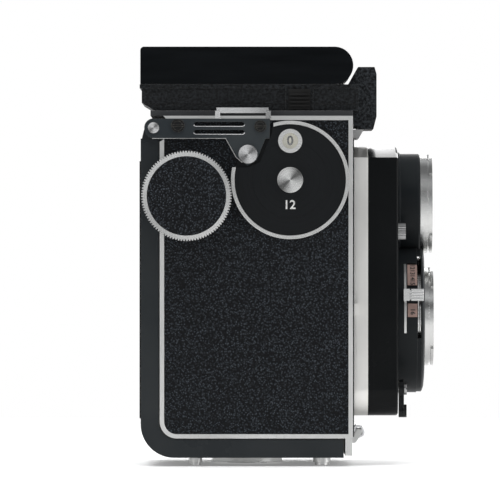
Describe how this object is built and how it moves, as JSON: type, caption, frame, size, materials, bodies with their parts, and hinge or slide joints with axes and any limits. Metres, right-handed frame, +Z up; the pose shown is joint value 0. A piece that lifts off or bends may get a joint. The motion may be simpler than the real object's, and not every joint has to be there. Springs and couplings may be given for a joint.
{
  "type": "twin lens reflex camera",
  "caption": "Twin lens reflex camera for roll film: leather covered box body, two stacked lenses on a sliding board, folding viewing hood and side winding knob.",
  "frame": {"origin": "centre of the tripod socket's mouth, level with the underside of the feet", "axes": "+X the way the lenses look, +Y the camera's left, +Z up"},
  "size_m": [0.101, 0.0936, 0.1436],
  "materials": {
    "cast_black": "matte black painted casting",
    "leatherette": "fine grained black leatherette",
    "black_enamel": "semi-gloss black enamel on metal",
    "chrome": "satin bright chrome plate",
    "grey_paint": "dark grey paint",
    "ground_glass": "finely ground glass",
    "mirror": "front-silvered mirror",
    "glass": "clear window",
    "cream_dial": "cream enamel dial with dark numbers",
    "satin_steel": "satin turned steel",
    "satin_aluminium": "satin anodised aluminium",
    "brass": "machined brass",
    "lens_glass": "coated optical glass",
    "crinkle_black": "fine black crinkle paint",
    "satin_black": "satin black paint"
  },
  "bodies": {
    "body": {"body_casting": "cast_black", "body_leather": "leatherette", "chrome_trim": "chrome", "counter_cover": "black_enamel", "counter_glass": "glass", "counter_rims": "chrome", "focusing_screen": "ground_glass", "front_block": "crinkle_black", "hood_base": "crinkle_black", "hood_hinges": "satin_steel", "plate_screws": "black_enamel", "side_covers": "black_enamel", "strap_fittings": "chrome", "strap_plates": "black_enamel", "top_frame": "grey_paint", "viewing_mirror": "mirror"},
    "winder": {"wind_knob": "satin_aluminium", "wind_knob_leather": "leatherette", "wind_shaft": "satin_steel", "take_up_spool": "cast_black"},
    "idler": {"idler_gear": "brass"},
    "counter": {"counter_dial": "cream_dial"},
    "format_selector": {"format_knob": "satin_steel"},
    "supply": {"supply_spool": "cast_black"},
    "upper_roller": {"film_roller_upper": "satin_steel"},
    "lower_roller": {"film_roller_lower": "satin_steel"},
    "upper_pull_knob": {"spool_knob_upper": "satin_aluminium"},
    "lower_pull_knob": {"spool_knob_lower": "satin_aluminium"},
    "focuser": {"focus_knob": "satin_aluminium"},
    "lens_board": {"lens_board_skirt": "satin_aluminium", "lens_board_housing": "black_enamel", "viewing_barrel": "black_enamel", "filter_bayonets": "chrome", "viewing_lenses": "lens_glass", "taking_lenses": "lens_glass", "shutter_housing": "black_enamel", "shutter_cover": "black_enamel", "shutter_blades": "satin_steel", "exposure_scale": "cream_dial", "lens_board_fittings": "chrome"},
    "aperture": {"aperture_lever": "satin_steel"},
    "speed": {"speed_lever": "satin_steel"},
    "release": {"release_lever": "black_enamel"},
    "self_timer": {"self_timer_lever": "satin_steel"},
    "lid": {"hood_lid": "satin_black"},
    "rear_panel": {"hood_rear_panel": "satin_black"},
    "left_panel": {"hood_side_left": "satin_black"},
    "right_panel": {"hood_side_right": "satin_black"},
    "magnifier": {"magnifier_frame": "satin_black", "magnifier_lens": "lens_glass"},
    "hood_catch": {"hood_release_slider": "black_enamel"},
    "door": {"back_door": "black_enamel", "door_leather": "leatherette", "tripod_socket": "satin_steel", "door_inner_fittings": "satin_steel", "feet": "satin_aluminium"},
    "lock_ring": {"door_lock_ring": "satin_aluminium"},
    "bolt": {"door_bolt": "satin_steel"},
    "film_plate": {"pressure_plate": "cast_black"},
    "catch": {"catch_loop": "chrome"}
  },
  "joints": [
    {"name": "wind_turn", "type": "hinge", "parent": "body", "child": "winder", "pos_m": [-0.0206, 0, 0.092], "axis": [0, 1, 0], "continuous": true},
    {"name": "idler_turn", "type": "hinge", "parent": "body", "child": "idler", "pos_m": [-0.00421, -0.036, 0.09455], "axis": [0, 1, 0], "continuous": true},
    {"name": "counter_turn", "type": "hinge", "parent": "body", "child": "counter", "pos_m": [0.0147, -0.0365, 0.0975], "axis": [0, 1, 0], "continuous": true},
    {"name": "format_turn", "type": "hinge", "parent": "body", "child": "format_selector", "pos_m": [0.0147, -0.041, 0.0975], "axis": [0, 1, 0], "range_deg": [0, 90]},
    {"name": "supply_turn", "type": "hinge", "parent": "body", "child": "supply", "pos_m": [0.019, 0, 0.0176], "axis": [0, 1, 0], "continuous": true},
    {"name": "upper_roller_turn", "type": "hinge", "parent": "body", "child": "upper_roller", "pos_m": [-0.0286, 0, 0.08], "axis": [0, 1, 0], "continuous": true},
    {"name": "lower_roller_turn", "type": "hinge", "parent": "body", "child": "lower_roller", "pos_m": [-0.0279, 0, 0.0174], "axis": [0, 1, 0], "continuous": true},
    {"name": "upper_knob_pull", "type": "slide", "parent": "body", "child": "upper_pull_knob", "axis": [0, 1, 0], "range_m": [0, 0.005]},
    {"name": "lower_knob_pull", "type": "slide", "parent": "body", "child": "lower_pull_knob", "axis": [0, 1, 0], "range_m": [0, 0.005]},
    {"name": "focus_turn", "type": "hinge", "parent": "body", "child": "focuser", "pos_m": [0.014, 0.04, 0.057], "axis": [0, -1, 0], "range_deg": [0, 171.9]},
    {"name": "lens_board_slide", "type": "slide", "parent": "body", "child": "lens_board", "axis": [1, 0, 0], "range_m": [0, 0.006]},
    {"name": "aperture_turn", "type": "hinge", "parent": "lens_board", "child": "aperture", "pos_m": [0.0589, 0, 0.0503], "axis": [1, 0, 0], "range_deg": [-12, 20]},
    {"name": "speed_turn", "type": "hinge", "parent": "lens_board", "child": "speed", "pos_m": [0.0595, 0, 0.0503], "axis": [1, 0, 0], "range_deg": [-20, 20]},
    {"name": "release_swing", "type": "hinge", "parent": "lens_board", "child": "release", "pos_m": [0.0529, -0.0245, 0.026], "axis": [1, 0, 0], "range_deg": [0, 22], "stiffness_Nm_per_rad": 0.05},
    {"name": "self_timer_swing", "type": "hinge", "parent": "lens_board", "child": "self_timer", "pos_m": [0.0529, 0.0245, 0.074], "axis": [1, 0, 0], "range_deg": [-60, 0]},
    {"name": "lid_open", "type": "hinge", "parent": "body", "child": "lid", "pos_m": [0.0299, 0, 0.1367], "axis": [0, 1, 0], "range_deg": [0, 90]},
    {"name": "rear_panel_fold", "type": "hinge", "parent": "body", "child": "rear_panel", "pos_m": [-0.034, 0, 0.1328], "axis": [0, -1, 0], "range_deg": [0, 90]},
    {"name": "left_panel_fold", "type": "hinge", "parent": "body", "child": "left_panel", "pos_m": [0, 0.0324, 0.1316], "axis": [-1, 0, 0], "range_deg": [0, 90]},
    {"name": "right_panel_fold", "type": "hinge", "parent": "body", "child": "right_panel", "pos_m": [0, -0.0324, 0.1316], "axis": [1, 0, 0], "range_deg": [0, 90]},
    {"name": "magnifier_fold", "type": "hinge", "parent": "lid", "child": "magnifier", "pos_m": [-0.0081, 0, 0.1396], "axis": [0, -1, 0], "range_deg": [0, 90]},
    {"name": "hood_catch_slide", "type": "slide", "parent": "body", "child": "hood_catch", "axis": [0, 0, -1], "range_m": [0, 0.0003]},
    {"name": "door_open", "type": "hinge", "parent": "body", "child": "door", "pos_m": [-0.0319, 0, 0.1153], "axis": [0, 1, 0], "range_deg": [0, 105]},
    {"name": "lock_turn", "type": "hinge", "parent": "door", "child": "lock_ring", "pos_m": [0, 0, 0.0015], "axis": [0, 0, 1], "range_deg": [0, 90]},
    {"name": "bolt_slide", "type": "slide", "parent": "door", "child": "bolt", "axis": [-1, 0, 0], "range_m": [0, 0.0015]},
    {"name": "plate_press", "type": "slide", "parent": "door", "child": "film_plate", "axis": [-1, 0, 0], "range_m": [0, 0.0008], "stiffness_N_per_m": 200},
    {"name": "catch_swing", "type": "hinge", "parent": "body", "child": "catch", "pos_m": [0.0387, 0, 0.011], "axis": [0, 1, 0], "range_deg": [-20, 20]}
  ],
  "couplings": [
    {"joint": "idler_turn", "follows": "wind_turn", "ratio": -0.3},
    {"joint": "counter_turn", "follows": "wind_turn", "ratio": 0.075},
    {"joint": "focus_turn", "follows": "lens_board_slide", "rad_per_m": 500},
    {"joint": "rear_panel_fold", "follows": "lid_open", "ratio": 1},
    {"joint": "left_panel_fold", "follows": "lid_open", "ratio": 1},
    {"joint": "right_panel_fold", "follows": "lid_open", "ratio": 1},
    {"joint": "magnifier_fold", "follows": "lid_open", "ratio": 1},
    {"joint": "bolt_slide", "follows": "lock_turn", "m_per_rad": 0.0009549}
  ]
}
